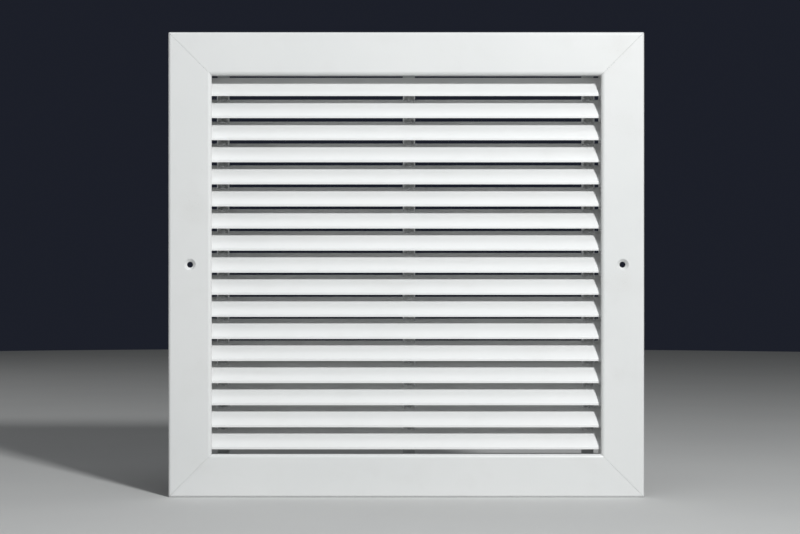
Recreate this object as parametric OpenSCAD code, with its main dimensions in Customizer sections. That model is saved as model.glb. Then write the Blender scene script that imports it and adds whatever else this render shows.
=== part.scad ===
// Louvred air grille: a mitred sheet-steel frame round a stack of fixed, sloping blades,
// held from behind by three notched mullions.
//
// X runs to the right, Z up, and the face looks along -Y. The origin is midway between the two
// screw holes, in the plane of the wall that the frame's lip rests on.

/* [Face frame] */
// Width of the face over its outer edges
face_w = 409; // [380:1:450]
// Width of the border, from the outer edge to the nose round the opening
border_w = 37.1; // [34:0.1:44]
// How far the face stands proud of the wall
face_proud = 6; // [5.5:0.5:8]
// Radius of the nose round the opening, which curls back behind the face
nose_r = 3.2; // [2.6:0.1:3.2]
// Radius of the face's outer edge
edge_r = 2.2; // [1.5:0.1:2.6]
// Radius of the frame's four corners, seen from the front
corner_r = 1.5; // [0.5:0.1:2]
// Thickness of the frame's sheet
frame_t = 1; // [0.8:0.1:1.2]
// Width of the gap left at each mitre
mitre_gap = 0.1; // [0.05:0.01:0.3]

/* [Neck] */
// How far the neck reaches behind the wall's surface
neck_depth = 44; // [36:1:60]

/* [Blades] */
// Number of blades
blade_count = 17; // [9:1:24]
// Distance from one blade to the next
blade_pitch = 19.05; // [18.5:0.05:20]
// Slope of a blade's curved web just behind its front edge, rising towards the back
front_angle = 58; // [54:1:62]
// Slope of the web at its back edge
back_angle = 30; // [28:1:36]
// Width of a blade's curved web, measured along the curve
web_w = 21.5; // [20:0.1:22]
// How far the blades' front edges sit behind the face
lip_inset = 6.9; // [6.8:0.1:8]
// Height of the straight lip along a blade's front edge
lip_h = 1.7; // [1:0.1:2.5]
// Thickness of the blades' sheet
blade_t = 0.8; // [0.6:0.1:1]
// Height of the opening above the front edge of the top blade
top_gap = 17.3; // [17.3:0.1:20]
// Height of the opening below the front edge of the bottom blade
bottom_gap = 3.5; // [2:0.1:5]

/* [Mullions] */
// Distance from the face's outer edge to the middle of each side mullion
side_mullion_inset = 45.8; // [44.6:0.1:90]
// Place of the middle mullion, to the right of the centre line
middle_mullion_x = 2.9; // [-5:0.1:5]
// Width of a mullion
mullion_w = 10.5; // [9:0.5:16]
// Depth of a mullion, front to back
mullion_d = 8; // [7:0.5:10]
// Thickness of the mullions' sheet
mullion_t = 1; // [0.8:0.1:1.2]
// How far a blade's back edge sits in the mullions' notches
notch_depth = 3.5; // [2.5:0.5:4]

/* [Screw holes] */
// Distance from the face's outer edge to each screw hole
screw_inset = 18.5; // [14:0.5:20]
// Diameter of the screw holes
screw_d = 5.1; // [4:0.1:5.5]
// Diameter of the dimple round each screw hole, at the face
dimple_d = 10; // [8.5:0.5:11]

/* [Hidden] */
paint = [0.93, 0.93, 0.92];
shade_paint = [0.84, 0.85, 0.85];
zinc = [0.66, 0.68, 0.70];
aluminium = [0.78, 0.79, 0.80];

round_fn = 64;
overrun = 1;             // how far a cutting shape runs past what it cuts

// Frame
opening_h = (blade_count - 1) * blade_pitch + top_gap + bottom_gap;
face_h = opening_h + 2 * border_w;
nose_x = border_w - nose_r;
leg_y = 2 * nose_r - face_proud - frame_t;    // front of the sheet where the nose has curled back
bend_r = 1.5;            // outside of the bend from the nose into the neck
neck_in = nose_x - bend_r + frame_t;          // from the outer edge to the inside of the neck

// Screw dimples, pressed at 45 degrees
dimple_h = (dimple_d - screw_d) / 2;
screw_land = 0.9;        // straight wall left at the bottom of a dimple
dimple_back = sqrt(2) * frame_t;

// Corner keys
key_t = 1.5;
key_near = 3;            // outer and inner edges of a leg, from the frame's outer edge
key_far = 25;
key_len = 58;
key_chamfer = 3;

// Blades, in section: the centre of the bend between lip and web is the section's reference point
blade_r = 1.2;           // outside of that bend
bend_steps = 6;
web_steps = 12;
web_r = web_w / ((front_angle - back_angle) * PI / 180);
web_centre = (blade_r - web_r) * [-sin(front_angle), cos(front_angle)];
blade_y = lip_inset - face_proud + blade_r;
top_blade_z = opening_h / 2 - top_gap + lip_h;
back_edge = web_centre + web_r * [-sin(back_angle), cos(back_angle)];
back_edge_y = blade_y + back_edge[0] + blade_t * sin(back_angle);
blade_end_gap = 1.2;
blade_half = face_w / 2 - neck_in - blade_end_gap;

// Tabs on the blades' ends, staked through slots in the stiles' necks: the steps of the web they span
tab_from = 4;
tab_to = 8;
tab_end = face_w / 2 - neck_in + frame_t + 0.7;
slot_play = 0.15;

// Mullions
mullion_front = back_edge_y - notch_depth;
mullion_back = mullion_front + mullion_d;
notch_play = 0.12;
neck_half_h = face_h / 2 - neck_in;       // from the centre to the inside of the top and bottom necks
flange_end = 7.7;        // the flanges stop this far short of the necks
foot_d = 9;              // the feet, folded back against the necks
tongue_w = 3;            // tongues, lanced from the web and pressed down on the blades
tongue_reach = 3;
window_w = 3.6;
window_h = 6;
mullion_places = [-face_w / 2 + side_mullion_inset, middle_mullion_x, face_w / 2 - side_mullion_inset];

// Rivets
rivet_r = 1.6;
rivet_hole_r = 1.65;
rivet_head_r = 3.2;
rivet_head_h = 1.3;
rivet_tail_r = 2.3;
rivet_tail_h = 1.2;
rivet_y = mullion_back + foot_d / 2;

function blade_z(i) = top_blade_z - (i - 1) * blade_pitch;
function blade_name(i) = str("blade_", i < 10 ? "0" : "", i);

// ---- Sheet metal in section ----

// A ring of sheet of outside radius r, which the bends are cut from
module sheet_ring(r, sheet_t) {
    difference() {
        circle(r, $fn = round_fn);
        circle(r - sheet_t, $fn = round_fn);
    }
}

// A square bend in the frame's sheet, centred on the origin, for sheet that comes from +x and leaves to +y
module square_bend(r) {
    intersection() {
        sheet_ring(r, frame_t);
        translate([-r, -r]) square(r);
    }
}

// The frame's sheet: x is the distance in from the outer edge, and y the depth, with the wall at 0
module frame_section() {
    // Lip that meets the wall, and the flat of the face
    translate([0, edge_r - face_proud]) square([frame_t, face_proud - edge_r]);
    translate([edge_r, edge_r - face_proud]) square_bend(edge_r);
    translate([edge_r, -face_proud]) square([nose_x - edge_r, frame_t]);

    // Nose, curled back on itself, and the bend from it into the neck
    translate([nose_x, nose_r - face_proud]) {
        mirror([1, 0]) square_bend(nose_r);
        rotate(180) square_bend(nose_r);
    }
    translate([nose_x, leg_y + bend_r]) square_bend(bend_r);
    translate([neck_in - frame_t, leg_y + bend_r])
        square([frame_t, neck_depth - leg_y - bend_r]);
}

function reversed(list) = [for (i = [len(list) - 1 : -1 : 0]) list[i]];

// Slope of a blade's web at one of its steps
function web_slope(step) = front_angle - (front_angle - back_angle) * step / web_steps;

// Points along a blade's web, at a distance below its upper surface
function web_arc(from, to, below) =
    [for (s = [from : to]) web_centre + (web_r - below) * [-sin(web_slope(s)), cos(web_slope(s))]];

// Points along the whole blade from its front edge back, at a distance below its outer surface
function blade_path(below) = concat(
    [[below - blade_r, -lip_h]],
    [for (s = [0 : bend_steps - 1])
        let (slope = 90 - (90 - front_angle) * s / bend_steps)
        (blade_r - below) * [-sin(slope), cos(slope)]],
    web_arc(0, web_steps, below)
);

// A blade's sheet: x is the depth and y the height, both from the centre of the bend
module blade_section() {
    polygon(concat(blade_path(0), reversed(blade_path(blade_t))));
}

// A strip along a blade's web between two of its steps, grown all round by some play
module web_strip(from, to, play) {
    grow = play / web_r * 180 / PI;
    upper = concat([web_slope(from) + grow], [for (s = [from : to]) web_slope(s)], [web_slope(to) - grow]);
    steps = play > 0 ? upper : [for (s = [from : to]) web_slope(s)];
    polygon(concat(
        [for (a = steps) web_centre + (web_r + play) * [-sin(a), cos(a)]],
        [for (a = reversed(steps)) web_centre + (web_r - blade_t - play) * [-sin(a), cos(a)]]
    ));
}

// Such a strip, drawn out along X about the middle of the grille
module web_bar(length, from, to, play) {
    rotate([90, 0, 90]) linear_extrude(length, center = true) web_strip(from, to, play);
}

// ---- Frame members ----

// What one side keeps of the frame's outline: a trapezium between the two mitres
module mitre_outline(length, half) {
    reach = border_w + overrun;
    cut = mitre_gap / sqrt(2);
    rotate([90, 0, 0])
        translate([0, 0, -neck_depth - overrun])
        linear_extrude(neck_depth + face_proud + 2 * overrun)
        polygon([
            [-length / 2 + cut, half], [length / 2 - cut, half],
            [length / 2 - reach - cut, half - reach], [-length / 2 + reach + cut, half - reach]
        ]);
}

// The sliver that rounds one corner of the outline off
module corner_cut(length, half) {
    rotate([90, 0, 0])
        translate([length / 2 - corner_r, half - corner_r, -overrun])
        linear_extrude(face_proud + 2 * overrun)
        difference() {
            square(corner_r + overrun);
            circle(corner_r, $fn = round_fn);
        }
}

// One side of the frame, lying along the top: its length, and its distance from the centre
module frame_side(length, half) {
    difference() {
        intersection() {
            translate([0, 0, half]) rotate([0, 90, 0])
                linear_extrude(length, center = true) frame_section();
            mitre_outline(length, half);
        }
        for (side = [0, 1]) mirror([side, 0, 0]) corner_cut(length, half);
    }
}

// A rail is a side with the rivet holes that its three mullions need
module rail(top) {
    color(paint) difference() {
        rotate([0, top ? 0 : 180, 0]) frame_side(face_w, face_h / 2);
        for (x = mullion_places)
            translate([x, rivet_y, (top ? 1 : -1) * neck_half_h])
                cylinder(h = 2 * (frame_t + overrun), r = rivet_hole_r, center = true, $fn = round_fn);
    }
}

// A stile is a side with a dimpled screw hole at mid-height, and a slot for each blade's tab
module stile(right) {
    side = right ? 1 : -1;
    color(paint) difference() {
        union() {
            rotate([0, side * 90, 0]) frame_side(face_h, face_w / 2);
            translate([side * (face_w / 2 - screw_inset), 0, 0]) dimple_wall();
        }
        translate([side * (face_w / 2 - screw_inset), 0, 0]) dimple_bore();
        for (i = [1 : blade_count])
            translate([side * (face_w / 2 - neck_in + frame_t / 2), blade_y, blade_z(i)])
                web_bar(2 * frame_t, tab_from, tab_to, slot_play);
    }
}

// The pressed metal behind a screw dimple
module dimple_wall() {
    rotate([-90, 0, 0]) translate([0, 0, frame_t - face_proud])
        cylinder(
            h = dimple_h + screw_land - frame_t,
            r1 = dimple_d / 2 + dimple_back - frame_t,
            r2 = dimple_d / 2 + dimple_back - dimple_h - screw_land,
            $fn = round_fn
        );
}

// The dimple's hollow and its screw hole
module dimple_bore() {
    rotate([-90, 0, 0]) translate([0, 0, -face_proud]) {
        translate([0, 0, -overrun])
            cylinder(h = dimple_h + overrun, r1 = dimple_d / 2 + overrun, r2 = screw_d / 2, $fn = round_fn);
        cylinder(h = dimple_h + screw_land + overrun, d = screw_d, $fn = round_fn);
    }
}

// ---- Corner keys ----

// The flat L behind one mitre, given the corner's own directions
module corner_key(right, top) {
    color(zinc)
        mirror([right ? 0 : 1, 0, 0]) mirror([0, 0, top ? 0 : 1])
        translate([face_w / 2, frame_t + key_t - face_proud, face_h / 2])
        rotate([90, 0, 0]) mirror([1, 0, 0]) mirror([0, 1, 0])
        linear_extrude(key_t)
        polygon([
            [key_near + key_chamfer, key_near],
            [key_len - key_chamfer, key_near], [key_len, key_near + key_chamfer],
            [key_len, key_far - key_chamfer], [key_len - key_chamfer, key_far],
            [key_far, key_far],
            [key_far, key_len - key_chamfer], [key_far - key_chamfer, key_len],
            [key_near + key_chamfer, key_len], [key_near, key_len - key_chamfer],
            [key_near, key_near + key_chamfer]
        ]);
}

// ---- Blades ----

module blade(i) {
    color(paint) translate([0, blade_y, blade_z(i)]) {
        rotate([90, 0, 90]) linear_extrude(2 * blade_half, center = true) blade_section();
        web_bar(2 * tab_end, tab_from, tab_to, 0);
    }
}

// ---- Mullions ----

// A tongue that runs forwards and down from the mullion's web over a blade's back edge
module tongue() {
    to_web = (mullion_back - mullion_t / 2 - blade_y - back_edge[0]) / cos(back_angle);
    translate([0, back_edge[0], back_edge[1]]) rotate([back_angle, 0, 0])
        translate([-tongue_w / 2, -tongue_reach, notch_play])
        cube([tongue_w, tongue_reach + to_web, blade_t]);
}

// The window that a tongue was lanced from, just above its root
module tongue_window() {
    root_z = back_edge[1] + (mullion_back - blade_y - back_edge[0]) * tan(back_angle)
        + (notch_play + blade_t) / cos(back_angle);
    translate([-window_w / 2, mullion_back - mullion_t - overrun - blade_y, root_z])
        cube([window_w, mullion_t + 2 * overrun, window_h]);
}

// The top blade's back edge lies over the flanges' ends, so it needs no notch and no tongue
module mullion(x) {
    web_y = mullion_back - mullion_t;
    flange_half = neck_half_h - flange_end;
    color(shade_paint) translate([x, 0, 0]) difference() {
        union() {
            // Web and its two flanges
            translate([-mullion_w / 2, web_y, -neck_half_h]) cube([mullion_w, mullion_t, 2 * neck_half_h]);
            for (x = [-mullion_w / 2, mullion_w / 2 - mullion_t])
                translate([x, mullion_front, -flange_half]) cube([mullion_t, mullion_d, 2 * flange_half]);
            // Feet
            for (z = [-neck_half_h, neck_half_h - mullion_t])
                translate([-mullion_w / 2, web_y, z]) cube([mullion_w, mullion_t + foot_d, mullion_t]);
            for (i = [2 : blade_count]) translate([0, blade_y, blade_z(i)]) tongue();
        }
        for (i = [2 : blade_count]) translate([0, blade_y, blade_z(i)]) {
            web_bar(mullion_w + 2 * overrun, web_steps / 2, web_steps, notch_play);
            tongue_window();
        }
        for (z = [-neck_half_h, neck_half_h]) translate([0, rivet_y, z])
            cylinder(h = 2 * (mullion_t + overrun), r = rivet_hole_r, center = true, $fn = round_fn);
    }
}

// ---- Rivets ----

// A domed rivet standing on the plane z = 0, with its shank running up through the two sheets
module rivet() {
    dome_r = (rivet_head_r * rivet_head_r + rivet_head_h * rivet_head_h) / (2 * rivet_head_h);
    grip = mullion_t + frame_t;
    intersection() {
        translate([0, 0, dome_r - rivet_head_h]) sphere(dome_r, $fn = round_fn);
        translate([0, 0, -rivet_head_h]) cylinder(h = rivet_head_h, r = rivet_head_r, $fn = round_fn);
    }
    cylinder(h = grip + rivet_tail_h / 2, r = rivet_r, $fn = round_fn);
    translate([0, 0, grip]) cylinder(h = rivet_tail_h, r = rivet_tail_r, $fn = round_fn);
}

module mullion_rivets() {
    color(aluminium)
        for (x = mullion_places, end = [0, 1])
            mirror([0, 0, end]) translate([x, rivet_y, neck_half_h - mullion_t]) rivet();
}

rail(true);  // top_rail
rail(false);  // bottom_rail
stile(false);  // left_stile
stile(true);  // right_stile
corner_key(false, true);  // corner_key_top_left
corner_key(true, true);  // corner_key_top_right
corner_key(false, false);  // corner_key_bottom_left
corner_key(true, false);  // corner_key_bottom_right
mullion(mullion_places[0]);  // left_mullion
mullion(mullion_places[1]);  // middle_mullion
mullion(mullion_places[2]);  // right_mullion
mullion_rivets();
for (i = [1 : blade_count]) blade(i);
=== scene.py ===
"""Looks for the louvred air grille: powder-coated sheet steel round fixed sloping blades.

The row frame is used throughout: X right, Z up, the face looks along -Y, and all lengths are in metres.
"""

import math

import bmesh
import bpy
from mathutils import Matrix, Vector


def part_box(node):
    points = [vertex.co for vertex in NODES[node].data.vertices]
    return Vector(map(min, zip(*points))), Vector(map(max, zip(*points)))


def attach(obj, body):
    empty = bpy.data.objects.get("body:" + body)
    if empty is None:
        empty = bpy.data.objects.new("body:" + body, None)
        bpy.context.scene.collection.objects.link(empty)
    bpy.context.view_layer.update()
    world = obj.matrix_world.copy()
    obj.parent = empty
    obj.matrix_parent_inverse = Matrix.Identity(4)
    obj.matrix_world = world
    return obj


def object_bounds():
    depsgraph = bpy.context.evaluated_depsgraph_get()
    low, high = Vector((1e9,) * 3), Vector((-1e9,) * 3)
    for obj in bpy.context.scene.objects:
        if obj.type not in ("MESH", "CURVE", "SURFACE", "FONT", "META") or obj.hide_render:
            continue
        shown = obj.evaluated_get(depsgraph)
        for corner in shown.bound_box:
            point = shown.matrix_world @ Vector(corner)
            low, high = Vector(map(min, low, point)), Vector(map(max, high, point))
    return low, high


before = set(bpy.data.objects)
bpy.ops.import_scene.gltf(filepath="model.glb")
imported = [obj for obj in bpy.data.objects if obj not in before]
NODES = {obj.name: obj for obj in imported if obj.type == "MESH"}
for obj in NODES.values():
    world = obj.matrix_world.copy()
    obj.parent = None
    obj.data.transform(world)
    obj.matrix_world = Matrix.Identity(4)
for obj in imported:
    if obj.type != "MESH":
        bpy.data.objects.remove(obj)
bpy.context.view_layer.update()
cad_low, cad_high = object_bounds()

MM = 0.001

# Sizes of the added pieces' seats on the CAD part, in millimetres
KEY_WELD_INSET = 11.0          # from a corner key's outer edges to its line of welds
KEY_WELD_STEPS = (11.0, 29.0, 45.0)
FOOT_THICKNESS = 1.0
RIVET_HEAD_HEIGHT = 1.3
TAB_STAND_OUT = 0.25           # how far a tab's end reaches past the middle of its bead
TAB_FROM_FRONT = 6.65          # a tab's middle, from its blade's front and from its lowest edge
TAB_FROM_BOTTOM = 10.4
TAB_SLOPE = 44.0

# The peened bead on a tab's end, in millimetres
BEAD_LENGTH = 7.7
BEAD_WIDTH = 1.5
BEAD_HEIGHT = 0.5

# Turned profiles as (radius, height) in millimetres, from the rim to the middle
WELD_PROFILE = [
    (2.9, -0.10), (2.7, 0.05), (2.3, 0.13), (1.9, 0.09), (1.4, 0.02), (0.6, 0.0), (0.0, 0.0)
]
STUB_PROFILE = [
    (1.35, -0.30), (1.35, 0.02), (1.22, 0.10), (1.05, 0.06), (0.95, 0.30), (0.75, 0.42), (0.0, 0.36)
]

LATHE_SIDES = 28

# Softened edges of the sheet metal
EDGE_WIDTH = 0.2               # in millimetres
EDGE_SEGMENTS = 3
EDGE_ANGLE = 40.0              # edges sharper than this are rounded
FLAT_ANGLE = 0.5               # faces closer than this to one plane are joined
WELD_DISTANCE = 0.005          # in millimetres
PAINT_IOR = 1.5

# Sockets that share one name, so they are given by number
COLOUR_MIX_FIRST = 6
COLOUR_MIX_SECOND = 7
COLOUR_MIX_RESULT = 2
SHADER_MIX_FIRST = 1
SHADER_MIX_SECOND = 2

# Camera, square on to the face
SENSOR_W = 36.0
CLIP_START = 0.1
CLIP_END = 50.0
VIEW_DISTANCE = 1.700
VIEW_WIDTH = 0.6872            # width of the picture in the plane of the face
CAMERA_X = -0.048
FRAMING_SHIFT_X = 0.0619
FRAMING_SHIFT_Y = -0.0029

# Round soft lights, each aimed at the middle of the grille
LIGHTS = {
    # A small softbox in front, high up on the right
    "key_light": dict(
        direction=(0.42, -1.0, 0.60), distance=2.4, size=0.24, power=50.5, colour=(0.985, 1.0, 1.0)
    ),
    # A large panel overhead
    "overhead_light": dict(
        direction=(0.0, -0.35, 1.0), distance=2.2, size=1.2, power=8.0, colour=(0.94, 0.97, 1.0)
    ),
    # A large panel on the left, wholly behind the plane of the face
    "back_light": dict(
        direction=(-1.6, 1.0, 0.15), distance=2.5, size=1.2, power=10.0, colour=(1.0, 1.0, 1.0)
    ),
}

# Surroundings, and the floor under the grille
BACKDROP_COLOUR = (0.012, 0.014, 0.022)
AMBIENT_COLOUR = (0.86, 0.94, 1.0)
AMBIENT_STRENGTH = 0.025
FLOOR_RADIUS = 3.0
FLOOR_SIDES = 96
FLOOR_ROUGHNESS = 0.9
FLOOR_MOTTLE_SCALE = 6.0
FLOOR_GREY = (0.62, 0.62, 0.62)
FLOOR_PALE = (0.67, 0.67, 0.66)


# ---- Small node helpers ----

def add_node(tree, kind, **settings):
    """A node of that kind, with its settings given by name."""
    node = tree.nodes.new(kind)
    for name, value in settings.items():
        setattr(node, name, value)
    return node


def noise(tree, place, scale, detail, roughness=0.5):
    node = add_node(tree, "ShaderNodeTexNoise")
    node.inputs["Scale"].default_value = scale
    node.inputs["Detail"].default_value = detail
    node.inputs["Roughness"].default_value = roughness
    tree.links.new(place, node.inputs["Vector"])
    return node.outputs["Fac"]


def remap(tree, value, taken, given):
    """Stretches the range taken of a value over the range given."""
    node = add_node(tree, "ShaderNodeMapRange")
    node.inputs["From Min"].default_value = taken[0]
    node.inputs["From Max"].default_value = taken[1]
    node.inputs["To Min"].default_value = given[0]
    node.inputs["To Max"].default_value = given[1]
    tree.links.new(value, node.inputs["Value"])
    return node.outputs["Result"]


def mix_colour(tree, share, first, second):
    """The two colours mixed by share; each is a plain colour or another node's output."""
    node = add_node(tree, "ShaderNodeMix", data_type="RGBA")
    tree.links.new(share, node.inputs["Factor"])
    for number, colour in ((COLOUR_MIX_FIRST, first), (COLOUR_MIX_SECOND, second)):
        if isinstance(colour, tuple):
            node.inputs[number].default_value = colour + (1.0,)
        else:
            tree.links.new(colour, node.inputs[number])
    return node.outputs[COLOUR_MIX_RESULT]


def bump(tree, height, distance, under=None):
    """Relief of that height in metres, on top of another bump if one is given."""
    node = add_node(tree, "ShaderNodeBump")
    node.inputs["Distance"].default_value = distance
    tree.links.new(height, node.inputs["Height"])
    if under is not None:
        tree.links.new(under, node.inputs["Normal"])
    return node.outputs["Normal"]


def new_material(name):
    """An empty node material: its tree, shader and the place on the object."""
    material = bpy.data.materials.new(name)
    material.use_nodes = True
    tree = material.node_tree
    shader = tree.nodes["Principled BSDF"]
    place = add_node(tree, "ShaderNodeTexCoord").outputs["Object"]
    return material, tree, shader, place


def stretched(tree, place, scale):
    """The place scaled by a different amount along each axis."""
    node = add_node(tree, "ShaderNodeMapping")
    node.inputs["Scale"].default_value = scale
    tree.links.new(place, node.inputs["Vector"])
    return node.outputs["Vector"]


def calculate(tree, operation, first, second):
    node = add_node(tree, "ShaderNodeMath", operation=operation)
    tree.links.new(first, node.inputs[0])
    tree.links.new(second, node.inputs[1])
    return node.outputs["Value"]


# ---- Materials ----

def powder_coat(name, pale, deep, dust, gloss, streak_scale):
    """Satin powder coat: mottle, dust, wiping streaks, shallow buckles, orange peel and fine grain."""
    mottle_scale = 9.0
    patch_scale = 30.0
    speck_scale = 900.0
    grain_scale = 1400.0
    buckle_scale = 14.0
    peel_scale = 520.0
    most_film = 0.30
    most_speck = 0.35
    gloss_spread = 0.04
    wiped_dullness = 0.05
    buckle_height = 0.00025
    peel_height = 0.00002
    grain_height = 0.000006
    material, tree, shader, place = new_material(name)

    mottle = remap(tree, noise(tree, place, mottle_scale, detail=3.0), (0.35, 0.65), (0.0, 1.0))
    along = stretched(tree, place, streak_scale)
    streaks = remap(tree, noise(tree, along, 1.0, detail=4.0), (0.40, 0.70), (0.0, 1.0))
    coat = mix_colour(tree, mottle, pale, deep)
    patches = remap(tree, noise(tree, place, patch_scale, detail=4.0), (0.52, 0.75), (0.0, 1.0))
    specks = remap(tree, noise(tree, place, speck_scale, detail=1.0), (0.66, 0.74), (0.0, most_speck))
    film = remap(tree, calculate(tree, "MULTIPLY", patches, streaks), (0.0, 1.0), (0.0, most_film))
    soiling = calculate(tree, "ADD", film, calculate(tree, "MULTIPLY", specks, patches))
    tree.links.new(mix_colour(tree, soiling, coat, dust), shader.inputs["Base Color"])

    grain = noise(tree, place, grain_scale, detail=2.0, roughness=0.6)
    fine = remap(tree, grain, (0.3, 0.7), (gloss - gloss_spread, gloss + gloss_spread))
    wiped = remap(tree, streaks, (0.0, 1.0), (0.0, wiped_dullness))
    tree.links.new(calculate(tree, "ADD", fine, wiped), shader.inputs["Roughness"])

    buckle = bump(tree, noise(tree, place, buckle_scale, detail=1.0), buckle_height)
    peel = bump(tree, noise(tree, place, peel_scale, detail=1.0), peel_height, under=buckle)
    tree.links.new(bump(tree, grain, grain_height, under=peel), shader.inputs["Normal"])
    shader.inputs["IOR"].default_value = PAINT_IOR
    return material


def zinc_plate(name):
    """Zinc-plated steel: a faint spangle, passivation tints and rolling lines."""
    spangle_scale = 160.0
    tint_scale = 40.0
    line_scale = (40.0, 40.0, 900.0)
    line_height = 0.000008
    bright_flake = (0.60, 0.62, 0.64)
    dull_flake = (0.50, 0.52, 0.55)
    yellow_tint = (0.58, 0.57, 0.50)
    material, tree, shader, place = new_material(name)

    spangle = add_node(tree, "ShaderNodeTexVoronoi")
    spangle.inputs["Scale"].default_value = spangle_scale
    tree.links.new(place, spangle.inputs["Vector"])
    flake = remap(tree, spangle.outputs["Distance"], (0.0, 0.8), (0.0, 0.6))
    tint = remap(tree, noise(tree, place, tint_scale, detail=3.0), (0.40, 0.65), (0.0, 1.0))
    plate = mix_colour(tree, flake, bright_flake, dull_flake)
    tree.links.new(mix_colour(tree, tint, plate, yellow_tint), shader.inputs["Base Color"])

    lines = noise(tree, stretched(tree, place, line_scale), 1.0, detail=3.0)
    tree.links.new(remap(tree, lines, (0.3, 0.7), (0.30, 0.48)), shader.inputs["Roughness"])
    tree.links.new(bump(tree, lines, line_height), shader.inputs["Normal"])
    shader.inputs["Metallic"].default_value = 1.0
    return material


def plain_aluminium(name):
    """Drawn aluminium: fine scratches and dull patches."""
    dull_scale = 300.0
    scratch_scale = (2600.0, 300.0, 300.0)
    scratch_height = 0.000005
    bright_metal = (0.76, 0.77, 0.78)
    dull_metal = (0.60, 0.61, 0.62)
    material, tree, shader, place = new_material(name)

    dull = remap(tree, noise(tree, place, dull_scale, detail=3.0), (0.4, 0.65), (0.0, 1.0))
    metal = mix_colour(tree, dull, bright_metal, dull_metal)
    tree.links.new(metal, shader.inputs["Base Color"])

    scratches = noise(tree, stretched(tree, place, scratch_scale), 1.0, detail=2.0)
    tree.links.new(remap(tree, scratches, (0.3, 0.7), (0.24, 0.42)), shader.inputs["Roughness"])
    tree.links.new(bump(tree, scratches, scratch_height), shader.inputs["Normal"])
    shader.inputs["Metallic"].default_value = 1.0
    return material


FRAME_PAINT = powder_coat(
    "frame_powder_coat",
    pale=(0.74, 0.744, 0.74),
    deep=(0.72, 0.727, 0.724),
    dust=(0.60, 0.59, 0.57),
    gloss=0.34,
    streak_scale=(5.0, 5.0, 30.0),
)
# The blades carry the frame's white coat, but this copy is made lighter than the frame's: painted light
# standing in for the extra light the sloping blades catch. Its dust is lightened with it.
BLADE_PAINT_WITH_PAINTED_LIGHT = powder_coat(
    "blade_powder_coat_painted_light",
    pale=(0.81, 0.812, 0.81),
    deep=(0.79, 0.796, 0.793),
    dust=(0.67, 0.66, 0.64),
    gloss=0.34,
    streak_scale=(3.0, 90.0, 90.0),
)
# The mullions carry the same white coat as the frame, but this copy is made much darker: painted shade
# standing in for the shade behind the blades. Its dust is darkened with it.
MULLION_PAINT_WITH_PAINTED_SHADE = powder_coat(
    "mullion_powder_coat_painted_shade",
    pale=(0.58, 0.59, 0.595),
    deep=(0.53, 0.54, 0.55),
    dust=(0.44, 0.43, 0.42),
    gloss=0.42,
    streak_scale=(60.0, 60.0, 4.0),
)
KEY_ZINC = zinc_plate("key_zinc_plate")
RIVET_METAL = plain_aluminium("rivet_plain_aluminium")


def paint(node, material):
    node.data.materials.clear()
    node.data.materials.append(material)


def soften(node):
    """Joins the flat faces of a CAD node's mesh and rounds its edges a little."""
    weld = node.modifiers.new("weld", "WELD")
    weld.merge_threshold = WELD_DISTANCE * MM
    flats = node.modifiers.new("flats", "DECIMATE")
    flats.decimate_type = "DISSOLVE"
    flats.angle_limit = math.radians(FLAT_ANGLE)
    edges = node.modifiers.new("edges", "BEVEL")
    edges.width = EDGE_WIDTH * MM
    edges.segments = EDGE_SEGMENTS
    edges.limit_method = "ANGLE"
    edges.angle_limit = math.radians(EDGE_ANGLE)
    edges.use_clamp_overlap = True
    normals = node.modifiers.new("normals", "WEIGHTED_NORMAL")
    normals.keep_sharp = True


def finish_of(name):
    if name.startswith("blade_"):
        return BLADE_PAINT_WITH_PAINTED_LIGHT
    if name.endswith("_mullion"):
        return MULLION_PAINT_WITH_PAINTED_SHADE
    if name.startswith("corner_key"):
        return KEY_ZINC
    if name == "mullion_rivets":
        return RIVET_METAL
    return FRAME_PAINT


for name, node in NODES.items():
    paint(node, finish_of(name))
    soften(node)


# ---- Added pieces ----

def add_object(name, data):
    made = bpy.data.objects.new(name, data)
    bpy.context.scene.collection.objects.link(made)
    return made


def place_piece(name, mesh, material):
    """Adds a piece that belongs to the grille and takes one of its material slots."""
    piece = add_object(name, mesh)
    mesh.materials.append(material)
    for face in mesh.polygons:
        face.use_smooth = True
    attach(piece, "root")


def lathe(shape, profile, place):
    """Turns a profile about the place's Z axis."""
    rings = []
    for radius, height in profile[:-1]:
        angles = [math.tau * i / LATHE_SIDES for i in range(LATHE_SIDES)]
        points = [(radius * math.cos(a) * MM, radius * math.sin(a) * MM, height * MM) for a in angles]
        rings.append([shape.verts.new(place @ Vector(point)) for point in points])
    for outer, inner in zip(rings, rings[1:]):
        for i in range(LATHE_SIDES):
            n = (i + 1) % LATHE_SIDES
            shape.faces.new((outer[i], outer[n], inner[n], inner[i]))
    middle = shape.verts.new(place @ Vector((0.0, 0.0, profile[-1][1] * MM)))
    for i in range(LATHE_SIDES):
        shape.faces.new((rings[-1][i], rings[-1][(i + 1) % LATHE_SIDES], middle))
    shape.faces.new(list(reversed(rings[0])))


def rounded_bead(shape, length, width, height, place):
    """A bead along the place's Y axis, domed across and round at both ends."""
    steps_round = 10
    steps_along = 12
    bluntness = 6
    least_girth = 0.06
    rows = []
    for i in range(steps_along + 1):
        along = -1.0 + 2.0 * i / steps_along
        girth = max(least_girth, (1.0 - abs(along) ** bluntness) ** 0.5)
        row = []
        for j in range(steps_round):
            angle = math.tau * j / steps_round
            x = width / 2 * girth * math.cos(angle)
            z = height * girth * math.sin(angle)
            row.append(shape.verts.new(place @ Vector((x * MM, along * length / 2 * MM, z * MM))))
        rows.append(row)
    for first, second in zip(rows, rows[1:]):
        for j in range(steps_round):
            n = (j + 1) % steps_round
            shape.faces.new((first[j], second[j], second[n], first[n]))
    shape.faces.new(rows[0])
    shape.faces.new(list(reversed(rows[-1])))


def names_starting(start):
    return [name for name in sorted(NODES) if name.startswith(start)]


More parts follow.
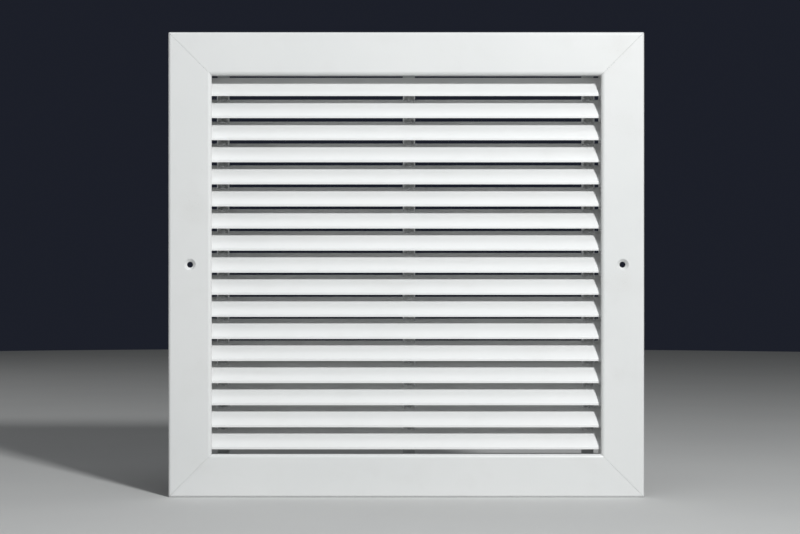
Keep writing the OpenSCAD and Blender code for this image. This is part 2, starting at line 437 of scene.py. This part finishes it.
def finished_mesh(name, shape):
    bmesh.ops.recalc_face_normals(shape, faces=shape.faces)
    mesh = bpy.data.meshes.new(name)
    shape.to_mesh(mesh)
    shape.free()
    return mesh


def make_spot_welds():
    """The shallow ringed marks of the spot welds, on the backs of the corner keys."""
    shape = bmesh.new()
    facing_back = Matrix.Rotation(math.radians(-90), 4, "X")
    for name in names_starting("corner_key"):
        low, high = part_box(name)
        right = high[0] > 0
        top = high[2] > 0
        for step in KEY_WELD_STEPS:
            # A set, so that the weld at the corner, which both arms share, is made once
            for inset_x, inset_z in sorted({(KEY_WELD_INSET, step), (step, KEY_WELD_INSET)}):
                x = high[0] - inset_x * MM if right else low[0] + inset_x * MM
                z = high[2] - inset_z * MM if top else low[2] + inset_z * MM
                lathe(shape, WELD_PROFILE, Matrix.Translation((x, high[1], z)) @ facing_back)
    place_piece("spot_welds", finished_mesh("spot_welds", shape), KEY_ZINC)


def make_rivet_stubs():
    """The broken-off mandrels in the middle of the rivets' heads."""
    shape = bmesh.new()
    rivets_low, rivets_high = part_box("mullion_rivets")
    rivet_y = (rivets_low[1] + rivets_high[1]) / 2
    for name in ("left_mullion", "middle_mullion", "right_mullion"):
        low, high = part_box(name)
        x = (low[0] + high[0]) / 2
        head_z = high[2] - (FOOT_THICKNESS + RIVET_HEAD_HEIGHT) * MM
        for end in (-1, 1):
            inwards = Matrix.Rotation(math.radians(180 if end > 0 else 0), 4, "X")
            place = Matrix.Translation((x, rivet_y, end * head_z))
            lathe(shape, STUB_PROFILE, place @ inwards)
    place_piece("rivet_stubs", finished_mesh("rivet_stubs", shape), RIVET_METAL)


def make_peened_tabs():
    """The mushroomed ends of the blades' tabs, outside the necks."""
    shape = bmesh.new()
    tilt = Matrix.Rotation(math.radians(TAB_SLOPE), 4, "X")
    for side in (-1, 1):
        outwards = Matrix.Rotation(math.radians(side * 90), 4, "Y")
        for name in names_starting("blade_"):
            low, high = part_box(name)
            x = side * (high[0] - TAB_STAND_OUT * MM)
            y = low[1] + TAB_FROM_FRONT * MM
            z = low[2] + TAB_FROM_BOTTOM * MM
            place = Matrix.Translation((x, y, z))
            rounded_bead(shape, BEAD_LENGTH, BEAD_WIDTH, BEAD_HEIGHT, place @ tilt @ outwards)
    place_piece("peened_tabs", finished_mesh("peened_tabs", shape), BLADE_PAINT_WITH_PAINTED_LIGHT)


# ---- Stage ----

def make_floor():
    """A pale round table top under the grille."""
    mesh = bpy.data.meshes.new("floor")
    angles = [math.tau * i / FLOOR_SIDES for i in range(FLOOR_SIDES)]
    rim = [(FLOOR_RADIUS * math.cos(a), FLOOR_RADIUS * math.sin(a), 0.0) for a in angles]
    mesh.from_pydata(rim, [], [list(range(FLOOR_SIDES))])
    floor = add_object("floor", mesh)
    floor.location = (0.0, 0.0, cad_low.z)
    material, tree, shader, place = new_material("floor_paper")
    mottle = noise(tree, place, FLOOR_MOTTLE_SCALE, detail=3.0)
    paper = mix_colour(tree, mottle, FLOOR_GREY, FLOOR_PALE)
    tree.links.new(paper, shader.inputs["Base Color"])
    shader.inputs["Roughness"].default_value = FLOOR_ROUGHNESS
    mesh.materials.append(material)


def make_camera():
    data = bpy.data.cameras.new("camera")
    camera = add_object("camera", data)
    camera.location = (CAMERA_X, cad_low.y - VIEW_DISTANCE, 0.0)
    camera.rotation_euler = (math.radians(90), 0.0, 0.0)
    data.sensor_width = SENSOR_W
    data.lens = SENSOR_W * VIEW_DISTANCE / VIEW_WIDTH
    data.shift_x = FRAMING_SHIFT_X
    data.shift_y = FRAMING_SHIFT_Y
    data.clip_start = CLIP_START
    data.clip_end = CLIP_END
    bpy.context.scene.camera = camera


def make_area_light(name, direction, distance, size, power, colour):
    """A round soft light aimed at the middle of the grille."""
    data = bpy.data.lights.new(name, "AREA")
    data.shape = "DISK"
    data.size = size
    data.energy = power
    data.color = colour
    light = add_object(name, data)
    towards = Vector(direction).normalized()
    light.location = towards * distance
    light.rotation_mode = "QUATERNION"
    light.rotation_quaternion = towards.to_track_quat("Z", "Y")


def make_world():
    """Dim cool surroundings, with a plain dark backdrop."""
    world = bpy.data.worlds.new("surroundings")
    bpy.context.scene.world = world
    world.use_nodes = True
    tree = world.node_tree
    tree.nodes.clear()
    seen = add_node(tree, "ShaderNodeBackground")
    seen.inputs["Color"].default_value = BACKDROP_COLOUR + (1.0,)
    ambient = add_node(tree, "ShaderNodeBackground")
    ambient.inputs["Color"].default_value = AMBIENT_COLOUR + (1.0,)
    ambient.inputs["Strength"].default_value = AMBIENT_STRENGTH
    mix = add_node(tree, "ShaderNodeMixShader")
    path = add_node(tree, "ShaderNodeLightPath")
    output = add_node(tree, "ShaderNodeOutputWorld")
    tree.links.new(path.outputs["Is Camera Ray"], mix.inputs["Fac"])
    tree.links.new(ambient.outputs["Background"], mix.inputs[SHADER_MIX_FIRST])
    tree.links.new(seen.outputs["Background"], mix.inputs[SHADER_MIX_SECOND])
    tree.links.new(mix.outputs["Shader"], output.inputs["Surface"])


make_spot_welds()
make_rivet_stubs()
make_peened_tabs()
make_floor()
make_camera()
for light_name, settings in LIGHTS.items():
    make_area_light(light_name, **settings)
make_world()
bpy.context.scene.view_settings.view_transform = "Standard"

bpy.context.view_layer.update()
